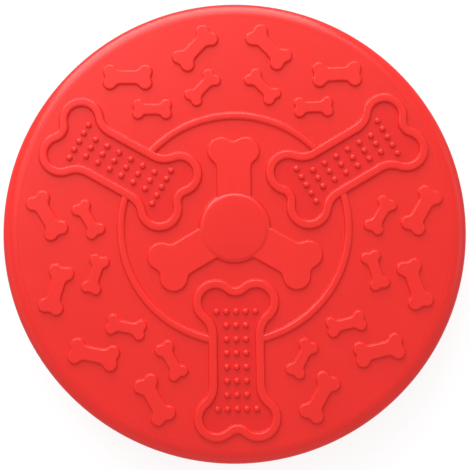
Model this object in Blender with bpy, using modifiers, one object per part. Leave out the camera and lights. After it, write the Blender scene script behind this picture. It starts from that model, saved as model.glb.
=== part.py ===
"""A soft rubber flying disc for dogs, 225 mm across, with bone-shaped reliefs on its top.

Frame: +Z up, the disc stands on its foot with the foot's land at Z = 0, the centre of the disc is on the
Z axis, and one of the three large bones points along -Y. Each moulded feature is a solid of its own, and
neighbours keep a parting gap of 0.3 mm.
"""

import math
from typing import NamedTuple

import bmesh
import bpy
from mathutils import Matrix

MM = 0.001

# Overall sizes
DISC_DIAMETER = 225.0 * MM
PLATE_TOP = 26.0 * MM  # height of the plate's top above the ground
PLATE_THICKNESS = 2.4 * MM
PARTING_GAP = 0.3 * MM

# Rim: shoulder, wall and foot bead
SHOULDER_REACH = 8.4 * MM  # how far in from the edge the top starts to turn down
SHOULDER_DROP = 7.2 * MM
WALL_THICKNESS = 2.8 * MM
BEAD_THICKNESS = 4.4 * MM
BEAD_HEIGHT = 6.0 * MM
BEAD_SLOPE = 2.4 * MM  # height of the slope from the bead up to the wall
FOOT_ROUND = 1.2 * MM
RIM_SEGMENTS = 64
SHOULDER_STEPS = 5
UNDERSIDE_STEPS = 3

# Centre boss
BOSS_DIAMETER = 33.6 * MM
BOSS_HEIGHT = 1.8 * MM
BOSS_EDGE_ROUND = 1.2 * MM
BOSS_CROWN = 0.4 * MM
BOSS_SEGMENTS = 48

# The pattern of reliefs repeats round the disc. Its layout, which is every centre, radius and bone
# outline below, is drawn for a plate of LAYOUT_RADIUS and grows with the plate.
SECTORS = 3
LAYOUT_RADIUS = 103.8 * MM
LARGE_BONE_HEADING = math.radians(-90)
SPOKE_HEADING = math.radians(90)


class BoneShape(NamedTuple):
    """A bone's outline, along X about its middle."""

    along: float  # to the lobe centres, along the bone
    across: float  # to the lobe centres, across it
    lobe: float  # radius of the lobes
    shaft: float  # half the width of the straight part
    neck: float  # hollow radius between a lobe and the shaft
    notch: float  # hollow radius between the two lobes of an end


LARGE_BONE = BoneShape(27.4 * MM, 9.7 * MM, 8.8 * MM, 11.2 * MM, 11.0 * MM, 5.6 * MM)
SPOKE_BONE = BoneShape(37.4 * MM, 5.9 * MM, 7.0 * MM, 8.6 * MM, 4.0 * MM, 3.3 * MM)
OUTER_BONE = BoneShape(8.5 * MM, 2.8 * MM, 3.7 * MM, 3.9 * MM, 4.6 * MM, 5.0 * MM)
INNER_BONE = BoneShape(6.7 * MM, 2.2 * MM, 3.0 * MM, 3.1 * MM, 4.6 * MM, 5.0 * MM)

# Large bones: a raised outline rib round a floor with rows of nubs
LARGE_BONE_OUTWARDS = 3.1 * MM  # outwards from midway between boss and plate edge
RIB_FOOT_WIDTH = 4.8 * MM
RIB_TOP_WIDTH = 3.0 * MM
RIB_HEIGHT = 1.2 * MM
PAD_THICKNESS = 0.4 * MM
NUB_DIAMETER = 2.2 * MM
NUB_TOP_DIAMETER = 1.3 * MM
NUB_HEIGHT = 1.5 * MM  # above the pad
NUB_SIDES = 6
NUB_SINK = 0.2 * MM
NUB_ROWS = (5, 3, 3, 3, 3, 3, 3, 5)
NUB_ROW_PITCH = 6.58 * MM
NUB_PITCH = 4.62 * MM

# Raised ring, broken by the large bones
SPOKE_TO_RING = 10.4 * MM  # from the ends of the spokes to the ring's centre line
RING_FOOT_WIDTH = 4.2 * MM
RING_TOP_WIDTH = 2.2 * MM
RING_HEIGHT = 1.0 * MM
RING_REACH = math.radians(52)  # each side of a sector's middle, ending under the large bones
RING_STEPS = 26

# Spokes, which are the outer halves of bones that run out from under the boss, and small bones
RELIEF_HEIGHT = 1.0 * MM
RELIEF_CHAMFER = 0.4 * MM

# Small bones stand on two circles round the ring. A place is (angle from the sector's middle, turn), and
# each has a mirror twin on the other side of the middle.
RING_TO_INNER_BONES = 15.7 * MM  # from the ring's centre line to the circle of the inner bones
INNER_TO_OUTER_BONES = 20.0 * MM
INNER_BONE_PLACES = ((math.radians(12.0), math.radians(-47)), (math.radians(33.9), math.radians(1)))
OUTER_BONE_PLACES = ((math.radians(11.5), math.radians(-47)), (math.radians(34.4), math.radians(1)))

# Steps of an outline's arcs: (neck, lobe, notch)
LARGE_STEPS = (3, 7, 2)
SMALL_STEPS = (1, 4, 1)
EDGE_STEPS = 2  # of a small rounded edge

RUBBER_RED = (0.72, 0.030, 0.028, 1.0)
RUBBER_ROUGHNESS = 0.45

disc_radius = DISC_DIAMETER / 2
rim_inner_radius = disc_radius - SHOULDER_REACH
plate_radius = rim_inner_radius - PARTING_GAP
relief_base = PLATE_TOP + PARTING_GAP
boss_radius = BOSS_DIAMETER / 2
layout_scale = plate_radius / LAYOUT_RADIUS
ring_radius = (SPOKE_BONE.along + SPOKE_BONE.lobe + SPOKE_TO_RING) * layout_scale
inner_circle = ring_radius + RING_TO_INNER_BONES * layout_scale
outer_circle = inner_circle + INNER_TO_OUTER_BONES * layout_scale
large_bone_centre = (boss_radius + plate_radius) / 2 + LARGE_BONE_OUTWARDS * layout_scale


def clear_scene():
    """Remove every object, so that the file holds this part alone."""
    for obj in list(bpy.data.objects):
        bpy.data.objects.remove(obj, do_unlink=True)


def new_collection(name, hidden=False):
    """Make a collection in the scene."""
    collection = bpy.data.collections.new(name)
    collection.hide_render = hidden
    bpy.context.scene.collection.children.link(collection)
    return collection


def rubber(name):
    """Make the material of one part: red moulded rubber."""
    material = bpy.data.materials.new(name + "_rubber")
    material.use_nodes = True
    shader = material.node_tree.nodes["Principled BSDF"]
    shader.inputs["Base Color"].default_value = RUBBER_RED
    shader.inputs["Roughness"].default_value = RUBBER_ROUGHNESS
    shader.inputs["Metallic"].default_value = 0.0
    return material


def add_part(name, mesh, heading=0.0):
    """Put a mesh in the parts collection under its node's name, turned about the disc's axis."""
    mesh.materials.clear()
    mesh.materials.append(rubber(name))
    mesh.shade_smooth()
    mesh.set_sharp_from_angle(angle=math.radians(35))
    obj = bpy.data.objects.new(name, mesh)
    obj.rotation_euler.z = heading
    parts.objects.link(obj)
    return obj


def add_cutter(name, mesh, heading=0.0):
    """Put a mesh in the cutters collection, where it isn't rendered."""
    obj = bpy.data.objects.new(name, mesh)
    obj.rotation_euler.z = heading
    obj.hide_render = True
    obj.display_type = "WIRE"
    cutters.objects.link(obj)
    return obj


def add_boolean(obj, operation, other):
    """Cut or join an object with another mesh."""
    boolean = obj.modifiers.new(operation.title() + " " + other.name, "BOOLEAN")
    boolean.operation = operation
    boolean.object = other


def arc(centre, radius, start, end, steps):
    """Points on an arc, both ends included."""
    angles = (start + (end - start) * i / steps for i in range(steps + 1))
    return [(centre[0] + radius * math.cos(a), centre[1] + radius * math.sin(a)) for a in angles]


def elliptic_arc(centre, radii, start, end, steps):
    """Points on an axis-aligned elliptical arc, both ends included."""
    angles = (start + (end - start) * i / steps for i in range(steps + 1))
    return [(centre[0] + radii[0] * math.cos(a), centre[1] + radii[1] * math.sin(a)) for a in angles]


def bone_quarter(shape, steps, offset=0.0):
    """One quarter of a bone along X, from its neck to its end notch, grown on all sides by an offset.

    A lobe circle sits at (along, across). A neck fillet joins it to the straight shaft, and a notch
    fillet centred on the X axis joins it to its twin below.
    """
    along = shape.along * layout_scale
    across = shape.across * layout_scale
    lobe = shape.lobe * layout_scale + offset
    shaft = shape.shaft * layout_scale + offset
    neck = shape.neck * layout_scale - offset
    notch = shape.notch * layout_scale - offset
    rise = shaft + neck - across
    neck_centre = (along - math.sqrt((lobe + neck) ** 2 - rise**2), shaft + neck)
    to_lobe = math.atan2(across - neck_centre[1], along - neck_centre[0])
    notch_centre = (along + math.sqrt((lobe + notch) ** 2 - across**2), 0.0)
    to_notch = math.atan2(-across, notch_centre[0] - along)
    points = arc(neck_centre, neck, -math.pi / 2, to_lobe, steps[0])
    points += arc((along, across), lobe, to_lobe + math.pi, to_notch, steps[1])[1:]
    points += arc(notch_centre, notch, to_notch + math.pi, math.pi, steps[2])[1:]
    return points


def half_outline(upper):
    """An outline's right half, from its quarter above the X axis and the mirror of that."""
    return upper + [(x, -y) for x, y in upper[-2::-1]]


def bone_outline(shape, steps, offset=0.0):
    """A whole bone along X about the origin, grown on all sides by an offset."""
    right = half_outline(bone_quarter(shape, steps, offset))
    return right + [(-x, y) for x, y in right[::-1]]


def large_bone_outline(offset=0.0):
    """The rib's centre line, grown by an offset, in its place on the +X side of the disc."""
    return [(x + large_bone_centre, y) for x, y in bone_outline(LARGE_BONE, LARGE_STEPS, offset)]


def flat_curve(name, outline, cyclic=True):
    """A 2D curve object through an outline's points."""
    curve = bpy.data.curves.new(name, "CURVE")
    curve.dimensions = "2D"
    spline = curve.splines.new("POLY")
    spline.points.add(len(outline) - 1)
    for point, (x, y) in zip(spline.points, outline):
        point.co = (x, y, 0.0, 1.0)
    spline.use_cyclic_u = cyclic
    obj = bpy.data.objects.new(name, curve)
    bpy.context.scene.collection.objects.link(obj)
    return obj


def mesh_of_curve(obj, height):
    """The closed mesh of a curve object, raised to a height. The curve is removed."""
    graph = bpy.context.evaluated_depsgraph_get()
    mesh = bpy.data.meshes.new_from_object(obj.evaluated_get(graph))
    work = bmesh.new()
    work.from_mesh(mesh)
    bmesh.ops.remove_doubles(work, verts=work.verts, dist=0.001 * MM)
    bmesh.ops.recalc_face_normals(work, faces=work.faces)
    bmesh.ops.transform(work, matrix=Matrix.Translation((0, 0, height)) @ obj.matrix_world, verts=work.verts)
    work.to_mesh(mesh)
    work.free()
    bpy.data.objects.remove(obj, do_unlink=True)
    return mesh


def slab(name, outline, base, thickness, chamfer=0.0):
    """A flat piece of one outline, standing on a height, with its top edge chamfered."""
    curve = flat_curve(name, outline)
    curve.data.fill_mode = "BOTH"
    curve.data.extrude = thickness / 2
    mesh = mesh_of_curve(curve, base + thickness / 2)
    work = bmesh.new()
    work.from_mesh(mesh)
    flat = [f for f in work.faces if abs(f.normal.z) > 0.5]
    inner = {e for f in flat for e in f.edges if all(abs(g.normal.z) > 0.5 for g in e.link_faces)}
    bmesh.ops.dissolve_edges(work, edges=list(inner), use_verts=False)
    if chamfer > 0.0:
        top = [f for f in work.faces if f.normal.z > 0.5]
        edges = list({e for f in top for e in f.edges})
        bmesh.ops.bevel(work, geom=edges, offset=chamfer, segments=1, profile=0.5, affect="EDGES")
    work.to_mesh(mesh)
    work.free()
    return mesh


def ridge(name, path, cyclic, foot_width, top_width, height):
    """A ridge with sloping sides swept along a flat path on the plate."""
    section = flat_curve(
        name + "_section",
        [(-foot_width / 2, 0), (-top_width / 2, height), (top_width / 2, height), (foot_width / 2, 0)],
    )
    curve = flat_curve(name, path, cyclic)
    curve.data.bevel_mode = "OBJECT"
    curve.data.bevel_object = section
    curve.data.use_fill_caps = not cyclic
    mesh = mesh_of_curve(curve, relief_base)
    bpy.data.objects.remove(section, do_unlink=True)
    return mesh


def turned(name, profile, segments, closed):
    """A solid turned about the Z axis from a profile in (radius, height)."""
    mesh = bpy.data.meshes.new(name)
    edges = [(i, i + 1) for i in range(len(profile) - 1)]
    if closed:
        edges.append((len(profile) - 1, 0))
    mesh.from_pydata([(r, 0.0, z) for r, z in profile], edges, [])
    obj = add_part(name, mesh)
    screw = obj.modifiers.new("Turn", "SCREW")
    screw.steps = segments
    screw.render_steps = segments
    screw.use_merge_vertices = True
    screw.merge_threshold = 0.001 * MM
    screw.use_smooth_shade = True
    return obj


def build_plate():
    """The flat plate inside the rim."""
    work = bmesh.new()
    bmesh.ops.create_cone(
        work,
        cap_ends=True,
        segments=RIM_SEGMENTS,
        radius1=plate_radius,
        radius2=plate_radius,
        depth=PLATE_THICKNESS,
        matrix=Matrix.Translation((0, 0, PLATE_TOP - PLATE_THICKNESS / 2)),
    )
    mesh = bpy.data.meshes.new("flight_plate")
    work.to_mesh(mesh)
    work.free()
    add_part("flight_plate", mesh)


def build_rim():
    """The shoulder, the wall and the foot bead, as one turned ring."""
    drop = PLATE_TOP - SHOULDER_DROP
    inner_reach = SHOULDER_REACH - WALL_THICKNESS
    inner_drop = SHOULDER_DROP - PLATE_THICKNESS
    wall_inner = disc_radius - WALL_THICKNESS
    bead_inner = disc_radius - BEAD_THICKNESS
    shoulder = elliptic_arc(
        (rim_inner_radius, drop), (SHOULDER_REACH, SHOULDER_DROP), math.pi / 2, 0.0, SHOULDER_STEPS
    )
    outer_foot = arc((disc_radius - FOOT_ROUND, FOOT_ROUND), FOOT_ROUND, 0.0, -math.pi / 2, EDGE_STEPS)
    inner_foot = arc((bead_inner + FOOT_ROUND, FOOT_ROUND), FOOT_ROUND, -math.pi / 2, -math.pi, EDGE_STEPS)
    bead_top = [(bead_inner, BEAD_HEIGHT - BEAD_SLOPE), (wall_inner, BEAD_HEIGHT)]
    underside = elliptic_arc(
        (rim_inner_radius, drop), (inner_reach, inner_drop), 0.0, math.pi / 2, UNDERSIDE_STEPS
    )
    turned("rim", shoulder + outer_foot + inner_foot + bead_top + underside, RIM_SEGMENTS, closed=True)


def build_boss():
    """The round boss in the middle, slightly crowned, with a rounded edge."""
    side_top = relief_base + BOSS_HEIGHT - BOSS_CROWN - BOSS_EDGE_ROUND
    edge = arc((boss_radius - BOSS_EDGE_ROUND, side_top), BOSS_EDGE_ROUND, math.pi / 2, 0.0, EDGE_STEPS)
    profile = [(0.0, relief_base + BOSS_HEIGHT)] + edge + [(boss_radius, relief_base), (0.0, relief_base)]
    turned("centre_boss", profile, BOSS_SEGMENTS, closed=False)


def build_spokes(boss_clearance):
    """The three half bones that run out from under the boss."""
    quarter = bone_quarter(SPOKE_BONE, LARGE_STEPS)
    outline = half_outline([(boss_radius / 2, quarter[0][1])] + quarter)
    for sector in range(SECTORS):
        heading = SPOKE_HEADING + sector * math.tau / SECTORS
        name = f"spoke_bone_{sector + 1}"
        mesh = slab(name, outline, relief_base, RELIEF_HEIGHT, RELIEF_CHAMFER)
        add_boolean(add_part(name, mesh, heading), "DIFFERENCE", boss_clearance)


def build_large_bones():
    """The three large bones: a rib round each, and in it a floor pad with its nubs."""
    pad_offset = -RIB_FOOT_WIDTH / 2 - PARTING_GAP
    for sector in range(SECTORS):
        heading = LARGE_BONE_HEADING + sector * math.tau / SECTORS
        rib_name = f"bone_rib_{sector + 1}"
        path = large_bone_outline()
        rib = ridge(rib_name, path, True, RIB_FOOT_WIDTH, RIB_TOP_WIDTH, RIB_HEIGHT)
        add_part(rib_name, rib, heading)
        pad_name = f"nub_pad_{sector + 1}"
        pad = slab(pad_name, large_bone_outline(pad_offset), relief_base, PAD_THICKNESS)
        nubs = add_cutter(f"nubs_{sector + 1}", nub_mesh(), heading)
        add_boolean(add_part(pad_name, pad, heading), "UNION", nubs)


def nub_mesh():
    """All the nubs of one large bone, in rows across it."""
    work = bmesh.new()
    depth = NUB_HEIGHT + NUB_SINK
    middle = relief_base + PAD_THICKNESS - NUB_SINK + depth / 2
    for row, count in enumerate(NUB_ROWS):
        x = large_bone_centre + (row - (len(NUB_ROWS) - 1) / 2) * NUB_ROW_PITCH * layout_scale
        for column in range(count):
            y = (column - (count - 1) / 2) * NUB_PITCH * layout_scale
            bmesh.ops.create_cone(
                work,
                cap_ends=True,
                segments=NUB_SIDES,
                radius1=NUB_DIAMETER / 2,
                radius2=NUB_TOP_DIAMETER / 2,
                depth=depth,
                matrix=Matrix.Translation((x, y, middle)),
            )
    mesh = bpy.data.meshes.new("nubs")
    work.to_mesh(mesh)
    work.free()
    return mesh


def build_ring(bone_clearances):
    """The raised ring, as three arcs that stop at the large bones."""
    path = arc((0.0, 0.0), ring_radius, -RING_REACH, RING_REACH, RING_STEPS)
    for sector in range(SECTORS):
        heading = SPOKE_HEADING + sector * math.tau / SECTORS
        name = f"ring_arc_{sector + 1}"
        mesh = ridge(name, path, False, RING_FOOT_WIDTH, RING_TOP_WIDTH, RING_HEIGHT)
        obj = add_part(name, mesh, heading)
        for clearance in bone_clearances:
            add_boolean(obj, "DIFFERENCE", clearance)


def build_small_bones(prefix, shape, circle, places):
    """One size of small bone on its circle: each place and its mirror twin, in every sector."""
    number = 0
    for sector in range(SECTORS):
        middle = SPOKE_HEADING + sector * math.tau / SECTORS
        for angle, turn in places:
            for side in (1, -1):
                number += 1
                name = f"{prefix}_{number:02d}"
                outline = bone_outline(shape, SMALL_STEPS)
                mesh = slab(name, outline, relief_base, RELIEF_HEIGHT, RELIEF_CHAMFER)
                obj = add_part(name, mesh, middle - SPOKE_HEADING + side * turn)
                heading = middle - side * angle
                obj.location = (circle * math.cos(heading), circle * math.sin(heading), 0.0)


clear_scene()
parts = new_collection("flying_disc")
cutters = new_collection("flying_disc_cutters", hidden=True)

cut_depth = 2 * (BOSS_HEIGHT + RIB_HEIGHT)
boss_mesh = slab(
    "boss_clearance",
    arc((0.0, 0.0), boss_radius + PARTING_GAP, 0.0, math.tau, BOSS_SEGMENTS)[:-1],
    relief_base - cut_depth / 2,
    cut_depth,
)
boss_cutter = add_cutter("boss_clearance", boss_mesh)
bone_cutters = []
for bone in range(SECTORS):
    bone_mesh = slab(
        f"bone_clearance_{bone + 1}",
        large_bone_outline(RIB_FOOT_WIDTH / 2 + PARTING_GAP),
        relief_base - cut_depth / 2,
        cut_depth,
    )
    bone_heading = LARGE_BONE_HEADING + bone * math.tau / SECTORS
    bone_cutters.append(add_cutter(f"bone_clearance_{bone + 1}", bone_mesh, bone_heading))

build_plate()
build_rim()
build_boss()
build_spokes(boss_cutter)
build_large_bones()
build_ring(bone_cutters)
build_small_bones("outer_bone", OUTER_BONE, outer_circle, OUTER_BONE_PLACES)
build_small_bones("inner_bone", INNER_BONE, inner_circle, INNER_BONE_PLACES)
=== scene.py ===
"""Looks of a soft rubber flying disc for dogs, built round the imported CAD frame.

The disc is one moulding of red rubber: a flat plate in a deep rounded rim, with bone-shaped reliefs on its
top. Each moulded feature is a piece of its own here, shaped with a soft foot fillet that runs out on the
plate, so that the pieces read as one skin.
"""

import logging
import math
from collections.abc import Iterable
from dataclasses import dataclass, replace
from enum import Enum

import bpy
from mathutils import Matrix, Vector


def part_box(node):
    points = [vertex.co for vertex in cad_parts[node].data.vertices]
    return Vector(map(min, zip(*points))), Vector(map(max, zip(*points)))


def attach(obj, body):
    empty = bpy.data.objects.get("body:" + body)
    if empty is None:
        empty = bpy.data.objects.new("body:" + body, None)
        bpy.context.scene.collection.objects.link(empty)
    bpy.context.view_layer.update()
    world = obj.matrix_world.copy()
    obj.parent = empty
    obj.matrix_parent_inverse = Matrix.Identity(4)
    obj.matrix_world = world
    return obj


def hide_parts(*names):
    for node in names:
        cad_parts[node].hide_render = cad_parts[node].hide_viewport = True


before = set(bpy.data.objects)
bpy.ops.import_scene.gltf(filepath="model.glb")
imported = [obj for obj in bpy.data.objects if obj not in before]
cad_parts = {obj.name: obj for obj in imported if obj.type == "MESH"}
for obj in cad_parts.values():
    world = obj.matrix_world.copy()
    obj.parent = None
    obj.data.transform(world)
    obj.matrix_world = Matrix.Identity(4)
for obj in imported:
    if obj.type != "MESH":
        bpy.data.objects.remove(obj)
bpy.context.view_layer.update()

LOG = logging.getLogger("flying_disc")
BODY = "root"
MM = 0.001
SECTORS = 3
SECTOR_TURN = math.tau / SECTORS
MERGE = 0.0005 * MM  # points closer than this become one
PARTING_GAP = 0.3 * MM  # round the CAD's pieces, which the moulded skin closes
ROOT_LIFT = 0.6 * MM  # a relief's hidden root stays this far above the plate's underside
SINK = 0.002 * MM  # a relief's feather edge starts this far under the plate's top
TOP_BAND = 0.2 * MM  # flat band round a relief's top, which keeps its shading flat
SMOOTH_ANGLE = math.radians(38)
UP = Vector((0.0, 0.0, 1.0))


# ---------------------------------------------------------------- colour and node helpers


def linear_rgba(hex_colour: str) -> tuple[float, float, float, float]:
    """Turn an sRGB hex colour into linear RGBA.

    Args:
        hex_colour: Six hex digits, such as "E81A1B".

    Returns:
        Linear red, green and blue, with an alpha of 1.
    """
    channels = [int(hex_colour[i : i + 2], 16) / 255 for i in (0, 2, 4)]
    red, green, blue = (c / 12.92 if c <= 0.04045 else ((c + 0.055) / 1.055) ** 2.4 for c in channels)
    return (red, green, blue, 1.0)


def add_node(tree: bpy.types.NodeTree, kind: str, inputs: dict | None = None, **settings) -> bpy.types.Node:
    """Add a shader node with its settings, values and links.

    Args:
        tree: The node tree it goes in.
        kind: The node's type name.
        inputs: Socket name or number to a value, or to the output socket that feeds it.
        **settings: Attributes of the node itself.

    Returns:
        The new node.
    """
    node = tree.nodes.new(kind)
    for name, value in settings.items():
        setattr(node, name, value)
    for key, value in (inputs or {}).items():
        if isinstance(value, bpy.types.NodeSocket):
            tree.links.new(value, node.inputs[key])
        else:
            node.inputs[key].default_value = value
    return node


# ---------------------------------------------------------------- finishes


@dataclass(frozen=True)
class MouldedRubber:
    """Solid red rubber with a satin moulded skin: a broad soft highlight over a slightly cloudy red.

    The kind of rubber, its fine grain, its faint flow waves and its few specks are assumed.
    """

    name: str = "moulded_red_rubber"
    tone_deep: str = "CA1710"
    tone_light: str = "D41C14"
    roughness: float = 0.31
    roughness_spread: float = 0.04
    ior: float = 1.43  # assumed, as of silicone rubber
    cloud_size: float = 28 * MM
    grain_size: float = 0.55 * MM  # assumed, and coarse enough to show
    grain_height: float = 0.006 * MM
    wave_size: float = 22 * MM
    wave_height: float = 0.10 * MM
    speck_spacing: float = 17 * MM
    speck_radius: float = 0.35 * MM
    speck_height: float = 0.05 * MM

    def material(self) -> bpy.types.Material:
        """Build the material, on object coordinates in metres."""
        material = bpy.data.materials.new(self.name)
        material.use_nodes = True
        tree = material.node_tree
        tree.nodes.clear()
        place = add_node(tree, "ShaderNodeTexCoord").outputs["Object"]
        cloud = add_node(
            tree, "ShaderNodeTexNoise", {"Vector": place, "Scale": 1 / self.cloud_size, "Detail": 3.0}
        ).outputs["Fac"]
        colour = add_node(
            tree,
            "ShaderNodeMix",
            {"Factor": cloud, "A": linear_rgba(self.tone_deep), "B": linear_rgba(self.tone_light)},
            data_type="RGBA",
        )
        grain = add_node(
            tree, "ShaderNodeTexNoise", {"Vector": place, "Scale": 1 / self.grain_size, "Detail": 2.0}
        ).outputs["Fac"]
        wave = add_node(
            tree, "ShaderNodeTexNoise", {"Vector": place, "Scale": 1 / self.wave_size, "Detail": 1.0}
        ).outputs["Fac"]
        bump = self._bumps(tree, place, grain, wave)
        rough = add_node(
            tree,
            "ShaderNodeMapRange",
            {
                "Value": grain,
                "To Min": self.roughness - self.roughness_spread,
                "To Max": self.roughness + self.roughness_spread,
            },
        )
        shader = add_node(
            tree,
            "ShaderNodeBsdfPrincipled",
            {
                "Base Color": colour.outputs["Result"],
                "Roughness": rough.outputs["Result"],
                "IOR": self.ior,
                "Normal": bump,
            },
        )
        add_node(tree, "ShaderNodeOutputMaterial", {"Surface": shader.outputs["BSDF"]})
        return material

    def _bumps(
        self,
        tree: bpy.types.NodeTree,
        place: bpy.types.NodeSocket,
        grain: bpy.types.NodeSocket,
        wave: bpy.types.NodeSocket,
    ) -> bpy.types.NodeSocket:
        """Chain the specks, the flow waves and the grain into one normal.

        Args:
            tree: The material's node tree.
            place: Object coordinates.
            grain: Height of the grain.
            wave: Height of the flow waves.

        Returns:
            The socket that gives the normal.
        """
        cells = add_node(tree, "ShaderNodeTexVoronoi", {"Vector": place, "Scale": 1 / self.speck_spacing})
        reach = self.speck_radius / self.speck_spacing
        speck = add_node(
            tree,
            "ShaderNodeMapRange",
            {
                "Value": cells.outputs["Distance"],
                "From Min": 0.0,
                "From Max": reach,
                "To Min": 1.0,
                "To Max": 0.0,
            },
            interpolation_type="SMOOTHSTEP",
        )
        normal = None
        for height, size in (
            (speck.outputs["Result"], self.speck_height),
            (wave, self.wave_height),
            (grain, self.grain_height),
        ):
            inputs = {"Height": height, "Distance": size, "Strength": 1.0}
            if normal is not None:
                inputs["Normal"] = normal
            normal = add_node(tree, "ShaderNodeBump", inputs).outputs["Normal"]
        return normal


PLATE_SKIN = MouldedRubber()
RELIEF_SKIN = MouldedRubber("relief_rubber_painted_light", "CD1A13", "D71F17")  # a shade lighter than the plate: painted light, so that the reliefs read brighter than the plate round them
PAD_SKIN = MouldedRubber("pad_rubber_painted_shade", "C8110C", "D2150F")  # a shade darker than the plate: painted shade on the floors inside the bones' ribs
RIM_SKIN = MouldedRubber("handled_rim_rubber", roughness=0.26)  # glossier, for the shoulder's highlight


@dataclass(frozen=True)
class StudioFloor:
    """White matte sweep, lit so brightly that it reads as plain white."""

    name: str = "white_sweep"
    tone: str = "707070"
    roughness: float = 0.9
    glow: float = 0.83

    def material(self) -> bpy.types.Material:
        """Build the floor's material."""
        material = bpy.data.materials.new(self.name)
        material.use_nodes = True
        tree = material.node_tree
        tree.nodes.clear()
        shader = add_node(
            tree,
            "ShaderNodeBsdfPrincipled",
            {
                "Base Color": linear_rgba(self.tone),
                "Roughness": self.roughness,
                "Emission Color": linear_rgba("FFFFFF"),
                "Emission Strength": self.glow,
            },
        )
        add_node(tree, "ShaderNodeOutputMaterial", {"Surface": shader.outputs["BSDF"]})
        return material


# ---------------------------------------------------------------- measures of the CAD frame


def node_middle(node: str) -> Vector:
    """The middle of a CAD node's box."""
    low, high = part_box(node)
    return (low + high) / 2


def node_heading(node: str) -> float:
    """The heading of a CAD node's middle, from the disc's axis."""
    middle = node_middle(node)
    return math.atan2(middle.y, middle.x)


def height_of(node: str) -> float:
    """How far a CAD node's top stands above the plate's top."""
    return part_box(node)[1].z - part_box("flight_plate")[1].z


def large_bone_distance() -> float:
    """How far out the middle of a large bone lies. The first one lies along -Y."""
    return abs(node_middle("bone_rib_1").y)


def root_level() -> float:
    """The height of a relief's hidden root, inside the plate."""
    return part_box("flight_plate")[0].z + ROOT_LIFT


def root_depth() -> float:
    """From a relief's hidden root up to just under the plate's top."""
    low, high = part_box("flight_plate")
    return high.z - low.z - ROOT_LIFT - SINK


# ---------------------------------------------------------------- modelling helpers


def deselect_all() -> None:
    """Leave edit mode and deselect every object."""
    if bpy.context.mode != "OBJECT":
        bpy.ops.object.mode_set(mode="OBJECT")
    bpy.ops.object.select_all(action="DESELECT")


def name_new(name: str) -> bpy.types.Object:
    """Name the object that was just added, with its place put into its mesh."""
    obj = bpy.context.object
    obj.name = name
    obj.data.name = name
    bpy.ops.object.transform_apply(location=True, rotation=True, scale=True)
    return obj


def copy_of(source: bpy.types.Object, name: str, place: Matrix) -> bpy.types.Object:
    """Copy a finished object with a mesh of its own, put in place.

    Args:
        source: The object to copy.
        name: The copy's name.
        place: Where the copy goes, applied to its mesh.

    Returns:
        The copy, at the origin with its place in its mesh.
    """
    obj = source.copy()
    obj.data = source.data.copy()
    obj.name = name
    obj.data.name = name
    bpy.context.scene.collection.objects.link(obj)
    deselect_all()
    obj.select_set(True)
    bpy.context.view_layer.objects.active = obj
    obj.matrix_world = place
    bpy.ops.object.transform_apply(location=True, rotation=True, scale=True)
    return obj


def join_all(objects: list[bpy.types.Object], name: str) -> bpy.types.Object:
    """Join objects into the first one.

    Args:
        objects: The objects to join.
        name: What the joined object is called.

    Returns:
        The joined object.
    """
    deselect_all()
    for obj in objects:
        obj.select_set(True)
    bpy.context.view_layer.objects.active = objects[0]
    bpy.ops.object.join()
    objects[0].name = name
    objects[0].data.name = name
    return objects[0]


def close_up(obj: bpy.types.Object) -> None:
    """Merge doubles, turn the faces outwards and shade by angle."""
    deselect_all()
    obj.select_set(True)
    bpy.context.view_layer.objects.active = obj
    bpy.ops.object.mode_set(mode="EDIT")
    bpy.ops.mesh.select_all(action="SELECT")
    bpy.ops.mesh.remove_doubles(threshold=MERGE)
    bpy.ops.mesh.normals_make_consistent(inside=False)
    bpy.ops.object.mode_set(mode="OBJECT")
    bpy.ops.object.shade_smooth_by_angle(angle=SMOOTH_ANGLE)


class Pen:
    """Draws one outline in edit mode, by extruding and spinning a point."""

    def __init__(self, name: str, start: Vector) -> None:
        """Put the point down at its start."""
        deselect_all()
        bpy.ops.mesh.primitive_plane_add(size=1 * MM, location=start)
        self.obj = name_new(name)
        bpy.ops.object.mode_set(mode="EDIT")
        bpy.ops.mesh.select_all(action="SELECT")
        bpy.ops.mesh.merge(type="CENTER")
        self.at = start.copy()

    def line_to(self, target: Vector) -> None:
        """Draw a straight line."""
        bpy.ops.mesh.extrude_vertices_move(TRANSFORM_OT_translate={"value": target - self.at})
        self.at = target.copy()

    def sweep(self, centre: Vector, angle: float, steps: int, axis: Vector = UP) -> None:
        """Draw an arc.

        Args:
            centre: The arc's centre.
            angle: How far it turns, by the right-hand rule about the axis.
            steps: How many edges it has.
            axis: The axis it turns about.
        """
        bpy.ops.mesh.spin(steps=steps, angle=-angle, center=centre, axis=axis)  # spin turns the other way
        self.at = centre + Matrix.Rotation(angle, 3, axis) @ (self.at - centre)

    def oval(self, centre: Vector, radii: tuple[float, float], ends: tuple[float, float], steps: int) -> None:
        """Draw an oval arc in the XZ plane.

        Args:
            centre: The oval's centre.
            radii: Its half width and half height.
            ends: The first and last angle, in degrees from +X towards +Z.
            steps: How many edges it has.
        """
        for step in range(1, steps + 1):
            angle = math.radians(ends[0] + (ends[1] - ends[0]) * step / steps)
            self.line_to(centre + Vector((radii[0] * math.cos(angle), 0.0, radii[1] * math.sin(angle))))

    def mirror(self, scale: tuple[float, float, float]) -> None:
        """Copy all that is drawn, mirrored about the origin by a scale of -1 on one axis."""
        bpy.ops.mesh.select_all(action="SELECT")
        bpy.ops.mesh.duplicate()
        bpy.ops.transform.resize(value=scale, center_override=(0.0, 0.0, 0.0))
        bpy.ops.mesh.select_all(action="SELECT")
        bpy.ops.mesh.remove_doubles(threshold=MERGE)


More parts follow.
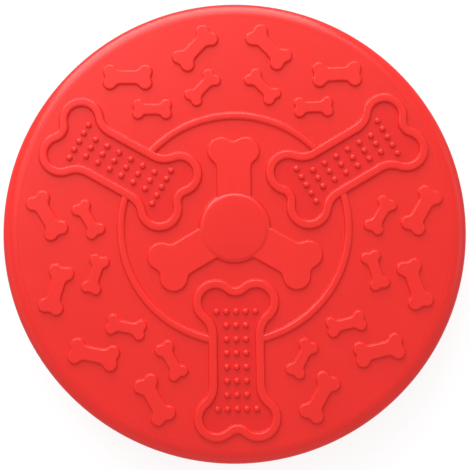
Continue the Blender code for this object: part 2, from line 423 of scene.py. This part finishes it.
@dataclass(frozen=True)
class EdgeProfile:
    """The soft edge of a relief: a foot fillet, a drafted side and a rounded top edge."""

    foot_radius: float
    top_radius: float
    steepness: float  # of the drafted side, in degrees
    grow: float  # how far the foot fillet runs out past the nominal outline
    arc_steps: int = 6
    feather: float = 0.3 * MM  # flat run-out on the plate, before the foot fillet

    def side(self, height: float) -> float:
        """Length of the straight drafted side of a relief this high."""
        slope = math.radians(self.steepness)
        arcs = (self.foot_radius + self.top_radius) * (1 - math.cos(slope))
        return max(0.0, (height - arcs) / math.sin(slope))

    def width(self, height: float) -> float:
        """How far the whole edge reaches inwards, from its feather to the flat top."""
        slope = math.radians(self.steepness)
        arcs = (self.foot_radius + self.top_radius) * math.sin(slope)
        return self.feather + arcs + self.side(height) * math.cos(slope)

    def steps(self, height: float) -> list[tuple[float, float]]:
        """The edge from foot to top.

        Args:
            height: The relief's height above the plate's top.

        Returns:
            Each step of it, as how far inwards and how far up.
        """
        slope = math.radians(self.steepness)
        turns = [slope * i / self.arc_steps for i in range(self.arc_steps + 1)]
        steps = [(self.feather, 2 * SINK)]
        for a, b in zip(turns, turns[1:]):
            steps.append(self._arc_step(self.foot_radius, a, b))
        side = self.side(height)
        steps.append((side * math.cos(slope), side * math.sin(slope)))
        for a, b in zip(turns[-2::-1], turns[:0:-1]):
            steps.append(self._arc_step(self.top_radius, a, b))
        return steps

    @staticmethod
    def _arc_step(radius: float, low: float, high: float) -> tuple[float, float]:
        """One step of an arc, between two slopes."""
        return (radius * (math.sin(high) - math.sin(low)), radius * (math.cos(low) - math.cos(high)))


def face_up() -> None:
    """Turn all faces of the object in edit mode to look up."""
    obj = bpy.context.object
    obj.update_from_editmode()
    if sum(face.normal.z for face in obj.data.polygons) < 0:
        bpy.ops.mesh.flip_normals()


def fill_up() -> None:
    """Fill the drawn outline with one face that looks up, unless it has one."""
    bpy.ops.mesh.select_all(action="SELECT")
    obj = bpy.context.object
    obj.update_from_editmode()
    if not obj.data.polygons:
        bpy.ops.mesh.edge_face_add()
    face_up()


def raise_relief(depth: float, steps: Iterable[tuple[float, float]]) -> None:
    """Raise the selected flat faces into a closed relief.

    Args:
        depth: How far the straight hidden root reaches up from the drawn outline.
        steps: The edge above it, as steps inwards and upwards.
    """
    bpy.ops.mesh.extrude_region_move(TRANSFORM_OT_translate={"value": (0.0, 0.0, depth)})
    for inwards, upwards in steps:
        bpy.ops.mesh.inset(thickness=inwards, depth=upwards, use_even_offset=True)


def turned(angle: float) -> Matrix:
    """A turn about the disc's axis."""
    return Matrix.Rotation(angle, 4, "Z")


def dress(piece: bpy.types.Object, material: bpy.types.Material, *nodes: str) -> bpy.types.Object:
    """Finish a piece, and tell the frame what it is.

    Args:
        piece: The modelled piece.
        material: Its material, unless it already has its own.
        *nodes: The CAD nodes it stands for.

    Returns:
        The same piece.
    """
    close_up(piece)
    if not piece.data.materials:
        piece.data.materials.append(material)
    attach(piece, BODY)
    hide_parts(*nodes)
    LOG.info("%s: %d faces", piece.name, len(piece.data.polygons))
    return piece


# ---------------------------------------------------------------- bone outlines


@dataclass(frozen=True)
class BoneOutline:
    """A bone's outline, lying along X: four lobes, a straight shaft, and hollow fillets between them."""

    along: float  # to the lobe centres, along the bone
    across: float  # to the lobe centres, across it
    lobe: float  # radius of the lobes
    shaft: float  # half the width of the straight part
    neck: float  # hollow radius between a lobe and the shaft
    notch: float  # hollow radius between the two lobes of an end
    steps: tuple[int, int, int] = (8, 20, 8)

    def grown(self, offset: float) -> "BoneOutline":
        """The same outline, moved outwards on all sides."""
        return replace(
            self,
            lobe=self.lobe + offset,
            shaft=self.shaft + offset,
            neck=self.neck - offset,
            notch=self.notch - offset,
        )

    def draw(self, name: str, height: float, cut: float | None = None) -> bpy.types.Object:
        """Draw and fill the outline about the origin. Edit mode stays on.

        Args:
            name: The new object's name.
            height: The height it's drawn at.
            cut: Where a half bone starts along X, or None for a whole bone.

        Returns:
            The new object, with its one face selected and looking up.
        """
        rise = self.shaft + self.neck - self.across
        neck_in = math.sqrt((self.lobe + self.neck) ** 2 - rise**2)
        neck_at = Vector((self.along - neck_in, self.shaft + self.neck, height))
        lobe_at = Vector((self.along, self.across, height))
        notch_out = math.sqrt((self.lobe + self.notch) ** 2 - self.across**2)
        notch_at = Vector((self.along + notch_out, 0.0, height))
        to_lobe = math.atan2(lobe_at.y - neck_at.y, lobe_at.x - neck_at.x)
        to_notch = math.atan2(-lobe_at.y, notch_at.x - lobe_at.x)
        pen = Pen(name, Vector((cut or 0.0, self.shaft if cut is None else 0.0, height)))
        if cut is not None:
            pen.line_to(Vector((cut, self.shaft, height)))
        pen.line_to(neck_at - Vector((0.0, self.neck, 0.0)))
        pen.sweep(neck_at, to_lobe + math.pi / 2, self.steps[0])
        pen.sweep(lobe_at, to_notch - to_lobe - math.pi, self.steps[1])
        pen.sweep(notch_at, -to_notch, self.steps[2])
        pen.mirror((1, -1, 1))
        if cut is None:
            pen.mirror((-1, 1, 1))
        fill_up()
        return pen.obj


LARGE_BONE = BoneOutline(27.4 * MM, 9.7 * MM, 8.8 * MM, 11.2 * MM, 11.0 * MM, 5.6 * MM, (10, 28, 12))
SPOKE_BONE = BoneOutline(37.4 * MM, 5.9 * MM, 7.0 * MM, 8.6 * MM, 4.0 * MM, 3.3 * MM, (8, 24, 8))
OUTER_BONE = BoneOutline(8.6 * MM, 2.8 * MM, 3.7 * MM, 3.75 * MM, 2.8 * MM, 2.2 * MM)
INNER_BONE = BoneOutline(6.8 * MM, 2.25 * MM, 3.0 * MM, 3.0 * MM, 2.4 * MM, 1.8 * MM)


# ---------------------------------------------------------------- sub-assemblies


@dataclass
class FlightPlate:
    """The flat plate that carries the reliefs."""

    material: bpy.types.Material
    segments: int = 192
    rings: int = 5

    def build(self) -> list[bpy.types.Object]:
        """Build the plate out to the start of the rim's shoulder."""
        low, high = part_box("flight_plate")
        radius = Rim.inner_radius()
        deselect_all()
        bpy.ops.mesh.primitive_circle_add(
            vertices=self.segments, radius=radius, fill_type="NGON", location=(0.0, 0.0, low.z)
        )
        plate = name_new("plate_skin")
        bpy.ops.object.mode_set(mode="EDIT")
        fill_up()
        bpy.ops.mesh.extrude_region_move(TRANSFORM_OT_translate={"value": (0.0, 0.0, high.z - low.z)})
        for _ in range(self.rings):
            bpy.ops.mesh.inset(thickness=radius / (self.rings + 1), depth=0.0, use_even_offset=True)
        return [dress(plate, self.material, "flight_plate")]


@dataclass
class Rim:
    """The rounded shoulder, the upright wall and the foot bead, turned in one."""

    material: bpy.types.Material
    shoulder_drop: float = 5.6 * MM
    flat: float = 1.0 * MM  # of the plate's level, before the shoulder bends down
    trim: float = 0.2 * MM  # the moulded skin ends this far inside the nominal outer radius
    wall: float = 2.8 * MM
    bead: float = 4.4 * MM
    bead_height: float = 6.0 * MM
    bead_slope: float = 2.4 * MM
    foot_round: float = 1.2 * MM
    tongue: float = 2.5 * MM  # lies just under the plate's edge, so that the joint doesn't show
    tongue_sink: float = 0.006 * MM
    segments: int = 192
    shoulder_steps: int = 26
    foot_steps: int = 6
    underside_steps: int = 12

    @staticmethod
    def inner_radius() -> float:
        """Where the shoulder leaves the plate."""
        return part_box("flight_plate")[1].x + PARTING_GAP

    def build(self) -> list[bpy.types.Object]:
        """Draw the rim's section and turn it about the disc's axis."""
        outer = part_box("rim")[1].x - self.trim
        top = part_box("rim")[1].z
        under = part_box("flight_plate")[0].z
        inner = self.inner_radius()
        reach = outer - inner
        drop = top - self.shoulder_drop
        wall_inner = outer - self.wall
        bead_inner = outer - self.bead
        foot = self.foot_round
        pen = Pen("rim_skin", Vector((inner - self.tongue, 0.0, top - self.tongue_sink)))
        pen.line_to(Vector((inner, 0.0, top)))
        pen.line_to(Vector((inner + self.flat, 0.0, top)))
        shoulder = (reach - self.flat, self.shoulder_drop)
        pen.oval(Vector((inner + self.flat, 0.0, drop)), shoulder, (90, 0), self.shoulder_steps)
        pen.line_to(Vector((outer, 0.0, foot)))
        pen.oval(Vector((outer - foot, 0.0, foot)), (foot, foot), (0, -90), self.foot_steps)
        pen.line_to(Vector((bead_inner + foot, 0.0, 0.0)))
        pen.oval(Vector((bead_inner + foot, 0.0, foot)), (foot, foot), (-90, -180), self.foot_steps)
        pen.line_to(Vector((bead_inner, 0.0, self.bead_height - self.bead_slope)))
        pen.line_to(Vector((wall_inner, 0.0, self.bead_height)))
        pen.line_to(Vector((wall_inner, 0.0, drop)))
        underside = (wall_inner - inner, under - drop)
        pen.oval(Vector((inner, 0.0, drop)), underside, (0, 90), self.underside_steps)
        pen.line_to(Vector((inner - self.tongue, 0.0, under + self.tongue_sink)))
        pen.line_to(Vector((inner - self.tongue, 0.0, top - self.tongue_sink)))
        bpy.ops.mesh.select_all(action="SELECT")
        bpy.ops.mesh.remove_doubles(threshold=MERGE)
        bpy.ops.mesh.spin(steps=self.segments, angle=math.tau, center=(0.0, 0.0, 0.0), axis=UP)
        return [dress(pen.obj, self.material, "rim")]


@dataclass
class CentreBoss:
    """The round boss in the middle, gently crowned."""

    material: bpy.types.Material
    edge: EdgeProfile = EdgeProfile(0.35 * MM, 3.0 * MM, 60, grow=1.2 * MM, arc_steps=10)
    crown: float = 0.3 * MM
    segments: int = 120
    rings: int = 9

    def build(self) -> list[bpy.types.Object]:
        """Build the boss from a circle, raised ring by ring."""
        root = root_level()
        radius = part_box("centre_boss")[1].x + self.edge.grow
        height = height_of("centre_boss") - self.crown
        deselect_all()
        bpy.ops.mesh.primitive_circle_add(
            vertices=self.segments, radius=radius, fill_type="NGON", location=(0.0, 0.0, root)
        )
        boss = name_new("boss_skin")
        bpy.ops.object.mode_set(mode="EDIT")
        fill_up()
        raise_relief(root_depth(), self.edge.steps(height))
        flat = radius - self.edge.width(height)
        last = 0.0
        for ring in range(1, self.rings + 1):
            share = ring / (self.rings + 1)
            lift = self.crown * (1 - (1 - share) ** 2)
            bpy.ops.mesh.inset(thickness=flat / (self.rings + 1), depth=lift - last, use_even_offset=True)
            last = lift
        return [dress(boss, self.material, "centre_boss")]


@dataclass
class SpokeBones:
    """The three half bones that run out from under the boss."""

    material: bpy.types.Material
    outline: BoneOutline = SPOKE_BONE
    edge: EdgeProfile = EdgeProfile(0.2 * MM, 0.8 * MM, 66, grow=0.4 * MM)

    def build(self) -> list[bpy.types.Object]:
        """Model one spoke along +X, and copy it round."""
        root = root_level()
        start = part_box("centre_boss")[1].x / 2
        first = self.outline.grown(self.edge.grow).draw("spoke_master", root, cut=start)
        raise_relief(root_depth(), self.edge.steps(height_of("spoke_bone_1")))
        bpy.ops.mesh.inset(thickness=TOP_BAND, depth=0.0, use_even_offset=True)
        deselect_all()
        spokes = []
        for sector in range(SECTORS):
            node = f"spoke_bone_{sector + 1}"
            heading = node_heading("spoke_bone_1") + sector * SECTOR_TURN
            spoke = copy_of(first, f"spoke_skin_{sector + 1}", turned(heading))
            spokes.append(dress(spoke, self.material, node))
        bpy.data.objects.remove(first)
        return spokes


@dataclass
class RaisedRing:
    """The raised ring, as three arcs that run in under the large bones' ribs."""

    material: bpy.types.Material
    edge: EdgeProfile = EdgeProfile(0.2 * MM, 1.2 * MM, 60, grow=0.4 * MM)
    foot_width: float = 4.2 * MM
    reach: float = math.radians(47.4)
    end_step: float = math.radians(2.2)  # one long last step each way, hidden in the rib
    steps: int = 90

    def build(self) -> list[bpy.types.Object]:
        """Spin a radial line into a band, raise it, and copy it round."""
        root = root_level()
        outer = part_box("ring_arc_1")[1].y + self.edge.grow
        inner = outer - self.foot_width - 2 * self.edge.grow
        begin = turned(-self.reach - self.end_step)
        pen = Pen("ring_master", begin @ Vector((inner, 0.0, root)))
        pen.line_to(begin @ Vector((outer, 0.0, root)))
        bpy.ops.mesh.select_all(action="SELECT")
        centre = Vector((0.0, 0.0, root))
        pen.sweep(centre, self.end_step, 1)
        pen.sweep(centre, 2 * self.reach, self.steps)
        pen.sweep(centre, self.end_step, 1)
        bpy.ops.mesh.select_all(action="SELECT")
        face_up()
        raise_relief(root_depth(), self.edge.steps(height_of("ring_arc_1")))
        deselect_all()
        arcs = []
        for sector in range(SECTORS):
            node = f"ring_arc_{sector + 1}"
            heading = node_heading("ring_arc_1") + sector * SECTOR_TURN
            band = copy_of(pen.obj, f"ring_skin_{sector + 1}", turned(heading))
            arcs.append(dress(band, self.material, node))
        bpy.data.objects.remove(pen.obj)
        return arcs


@dataclass
class BoneRibs:
    """The raised outline ribs of the three large bones."""

    material: bpy.types.Material
    outline: BoneOutline = LARGE_BONE
    edge: EdgeProfile = EdgeProfile(0.2 * MM, 0.9 * MM, 66, grow=0.4 * MM)
    foot_width: float = 4.8 * MM

    def build(self) -> list[bpy.types.Object]:
        """Model one rib along +X, and copy it round."""
        root = root_level()
        half = self.foot_width / 2 + self.edge.grow
        first = self.outline.grown(half).draw("rib_master", root)
        bpy.ops.mesh.inset(thickness=2 * half, depth=0.0, use_even_offset=True)
        bpy.ops.mesh.delete(type="FACE")
        bpy.ops.mesh.select_all(action="SELECT")
        raise_relief(root_depth(), self.edge.steps(height_of("bone_rib_1")))
        deselect_all()
        out = large_bone_distance()
        ribs = []
        for sector in range(SECTORS):
            node = f"bone_rib_{sector + 1}"
            place = turned(node_heading(node)) @ Matrix.Translation((out, 0.0, 0.0))
            rib = copy_of(first, f"rib_skin_{sector + 1}", place)
            ribs.append(dress(rib, self.material, node))
        bpy.data.objects.remove(first)
        return ribs


@dataclass
class NubPads:
    """The floors inside the large bones, each with its rows of small domed nubs."""

    material: bpy.types.Material
    nub_material: bpy.types.Material
    outline: BoneOutline = LARGE_BONE
    skin: float = 0.02 * MM  # how far the floor stands above the plate's top
    tuck: float = 1.2 * MM  # how far the floor reaches in under the rib, from the rib's inner foot
    rows: tuple[int, ...] = (5, 3, 3, 3, 3, 3, 3, 5)
    row_pitch: float = 6.58 * MM
    pitch: float = 4.62 * MM
    nub_radius: float = 1.7 * MM
    nub_steps: tuple[tuple[float, float], ...] = (
        (0.14 * MM, 0.04 * MM),
        (0.11 * MM, 0.22 * MM),
        (0.10 * MM, 0.52 * MM),
        (0.16 * MM, 0.34 * MM),
        (0.26 * MM, 0.22 * MM),
        (0.32 * MM, 0.11 * MM),
        (0.32 * MM, 0.04 * MM),
    )
    nub_sides: int = 16
    nub_sink: float = 0.1 * MM  # of a nub's hidden foot, under the plate's top

    def build(self) -> list[bpy.types.Object]:
        """Model one floor with its nubs along +X, and copy it round."""
        root = root_level()
        inset = BoneRibs(self.material).foot_width / 2 - self.tuck
        floor = self.outline.grown(-inset).draw("floor_master", root)
        raise_relief(root_depth() + self.skin, [(TOP_BAND, 0.0)])
        deselect_all()
        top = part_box("flight_plate")[1].z
        nub = self._nub(top - self.nub_sink)
        # the floor takes the darker rubber, which is painted shade; the nubs take the lighter one, which is
        # painted light
        floor.data.materials.append(self.material)
        nub.data.materials.append(self.nub_material)
        parts = [floor]
        for row, count in enumerate(self.rows):
            x = (row - (len(self.rows) - 1) / 2) * self.row_pitch
            for column in range(count):
                y = (column - (count - 1) / 2) * self.pitch
                parts.append(copy_of(nub, f"nub_{row}_{column}", Matrix.Translation((x, y, 0.0))))
        bpy.data.objects.remove(nub)
        first = join_all(parts, "pad_master")
        out = large_bone_distance()
        pads = []
        for sector in range(SECTORS):
            node = f"nub_pad_{sector + 1}"
            place = turned(node_heading(f"bone_rib_{sector + 1}")) @ Matrix.Translation((out, 0.0, 0.0))
            pad = copy_of(first, f"pad_skin_{sector + 1}", place)
            pads.append(dress(pad, self.material, node))
        bpy.data.objects.remove(first)
        return pads

    def _nub(self, base: float) -> bpy.types.Object:
        """One nub at the origin: a small dome with a flared foot."""
        deselect_all()
        bpy.ops.mesh.primitive_circle_add(
            vertices=self.nub_sides, radius=self.nub_radius, fill_type="NGON", location=(0.0, 0.0, base)
        )
        nub = name_new("nub_master")
        bpy.ops.object.mode_set(mode="EDIT")
        fill_up()
        raise_relief(self.nub_sink, self.nub_steps)
        bpy.ops.mesh.poke()
        deselect_all()
        return nub


class BoneSize(Enum):
    """The two sizes of small bone, named as their CAD nodes are."""

    OUTER = "outer_bone"
    INNER = "inner_bone"


@dataclass
class SmallBones:
    """One circle of twelve small bones: in each sector two of them and their mirror twins."""

    material: bpy.types.Material
    size: BoneSize
    edge: EdgeProfile = EdgeProfile(0.2 * MM, 0.75 * MM, 66, grow=0.35 * MM)
    turns: tuple[float, ...] = (math.radians(-47), math.radians(1))

    @property
    def outline(self) -> BoneOutline:
        """The outline of this size."""
        return {BoneSize.OUTER: OUTER_BONE, BoneSize.INNER: INNER_BONE}[self.size]

    def build(self) -> list[bpy.types.Object]:
        """Model one bone along +X, and copy it to each node's place."""
        root = root_level()
        first = self.outline.grown(self.edge.grow).draw(f"{self.size.value}_master", root)
        raise_relief(root_depth(), self.edge.steps(height_of(f"{self.size.value}_01")))
        bpy.ops.mesh.inset(thickness=TOP_BAND, depth=0.0, use_even_offset=True)
        deselect_all()
        bones = []
        for sector in range(SECTORS):
            for turn in self.turns:
                for side in (1, -1):
                    number = len(bones) + 1
                    node = f"{self.size.value}_{number:02d}"
                    middle = node_middle(node)
                    place = Matrix.Translation((middle.x, middle.y, 0.0))
                    place = place @ turned(sector * SECTOR_TURN + side * turn)
                    bone = copy_of(first, f"{self.size.value}_skin_{number:02d}", place)
                    bones.append(dress(bone, self.material, node))
        bpy.data.objects.remove(first)
        return bones


# ---------------------------------------------------------------- studio


@dataclass(frozen=True)
class SoftBox:
    """A rectangular studio light, aimed at the disc."""

    name: str
    heading: float  # degrees from +X, anticlockwise seen from above
    elevation: float  # degrees
    distance: float
    width: float
    height: float
    watts: float
    mirrored: bool = True  # whether glossy reflections show it

    def build(self) -> bpy.types.Object:
        """Place the light and aim it at the middle of the disc."""
        light = bpy.data.lights.new(self.name, "AREA")
        light.shape = "RECTANGLE"
        light.size = self.width
        light.size_y = self.height
        light.energy = self.watts
        lamp = bpy.data.objects.new(self.name, light)
        lamp.visible_glossy = self.mirrored
        bpy.context.scene.collection.objects.link(lamp)
        heading, elevation = math.radians(self.heading), math.radians(self.elevation)
        out = Vector(
            (
                math.cos(heading) * math.cos(elevation),
                math.sin(heading) * math.cos(elevation),
                math.sin(elevation),
            )
        )
        lamp.location = out * self.distance
        lamp.rotation_mode = "QUATERNION"
        lamp.rotation_quaternion = out.to_track_quat("Z", "Y")
        return lamp


@dataclass
class Studio:
    """A plain white sweep, soft lights and a camera above the disc."""

    floor: StudioFloor
    floor_side: float = 40.0
    floor_gap: float = 0.05 * MM  # under the disc's foot, so that the two don't coincide
    sky: float = 0.75
    ground: float = 0.45
    horizon: float = 0.02  # depth of the blend from sky to ground, under the horizon
    boxes: tuple[SoftBox, ...] = (
        SoftBox("low_strip", 103, 12, 1.0, 1.2, 0.3, 5.6),
        SoftBox("key_strip", 103, 28, 1.0, 1.2, 0.3, 5.6),
        SoftBox("high_strip", 103, 45, 1.0, 1.2, 0.3, 3.0),
        SoftBox("near_left_box", 135, 50, 0.6, 0.4, 0.4, 0.62),
        SoftBox("near_right_box", 75, 50, 0.6, 0.4, 0.4, 0.25),
        SoftBox("left_side_box", 190, 25, 1.0, 0.6, 0.4, 0.25),
        SoftBox("right_side_box", 10, 25, 1.0, 0.6, 0.4, 0.5),
        SoftBox("front_fill", 270, 12, 1.0, 1.2, 0.3, 2.0, mirrored=False),
    )
    lens: float = 88.23
    sensor: float = 36.0
    clip: tuple[float, float] = (0.01, 20.0)
    camera_distance: float = 553.99 * MM
    camera_tilt: float = math.radians(6.76)
    camera_turn: float = math.radians(0.86)
    aim: tuple[float, float] = (0.12 * MM, -3.58 * MM)

    def build(self) -> None:
        """Build the whole studio."""
        self._sweep()
        self._world()
        for box in self.boxes:
            box.build()
        self._camera()

    def _sweep(self) -> None:
        """Lay the floor the disc stands on."""
        deselect_all()
        bpy.ops.mesh.primitive_plane_add(size=self.floor_side, location=(0.0, 0.0, -self.floor_gap))
        floor = name_new("sweep_floor")
        floor.data.materials.append(self.floor.material())
        floor.visible_glossy = False  # flagged off, so that the rim's edge keeps its red

    def _world(self) -> None:
        """Light the room evenly in white from above, and dimly from below."""
        world = bpy.data.worlds.new("white_room")
        world.use_nodes = True
        tree = world.node_tree
        tree.nodes.clear()
        heading = add_node(tree, "ShaderNodeTexCoord").outputs["Generated"]
        height = add_node(tree, "ShaderNodeSeparateXYZ", {"Vector": heading}).outputs["Z"]
        strength = add_node(
            tree,
            "ShaderNodeMapRange",
            {
                "Value": height,
                "From Min": -self.horizon,
                "From Max": 0.0,
                "To Min": self.ground,
                "To Max": self.sky,
            },
        ).outputs["Result"]
        glow = add_node(tree, "ShaderNodeBackground", {"Color": linear_rgba("FFFFFF"), "Strength": strength})
        add_node(tree, "ShaderNodeOutputWorld", {"Surface": glow.outputs["Background"]})
        bpy.context.scene.world = world

    def _camera(self) -> None:
        """Look down on the disc from a little towards -Y."""
        data = bpy.data.cameras.new("camera")
        data.lens = self.lens
        data.sensor_width = self.sensor
        data.clip_start, data.clip_end = self.clip
        camera = bpy.data.objects.new("camera", data)
        bpy.context.scene.collection.objects.link(camera)
        target = Vector((*self.aim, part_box("flight_plate")[1].z))
        turn = Matrix.Rotation(-self.camera_turn, 3, "Z")
        view = turn @ Matrix.Rotation(self.camera_tilt, 3, "X")
        camera.matrix_world = Matrix.Translation(target + view @ UP * self.camera_distance) @ view.to_4x4()
        bpy.context.scene.camera = camera
        bpy.context.scene.view_settings.view_transform = "Standard"


def main() -> None:
    """Build the disc, piece by piece, and then the studio."""
    logging.basicConfig(level=logging.INFO, format="%(name)s: %(message)s")
    # relief is a lighter copy of the plate's rubber, which is painted light; pad is a darker copy, which is
    # painted shade
    plate, relief, pad, rim = (skin.material() for skin in (PLATE_SKIN, RELIEF_SKIN, PAD_SKIN, RIM_SKIN))
    assemblies = (
        FlightPlate(plate),
        Rim(rim),
        CentreBoss(plate),
        SpokeBones(relief),
        RaisedRing(relief),
        BoneRibs(relief),
        NubPads(pad, relief),
        SmallBones(relief, BoneSize.OUTER),
        SmallBones(relief, BoneSize.INNER),
    )
    count = 0
    for assembly in assemblies:
        pieces = assembly.build()
        count += len(pieces)
        LOG.info("%s: %d pieces", type(assembly).__name__, len(pieces))
    Studio(StudioFloor()).build()
    LOG.info("%d pieces in all", count)


if __name__ == "__main__":
    main()
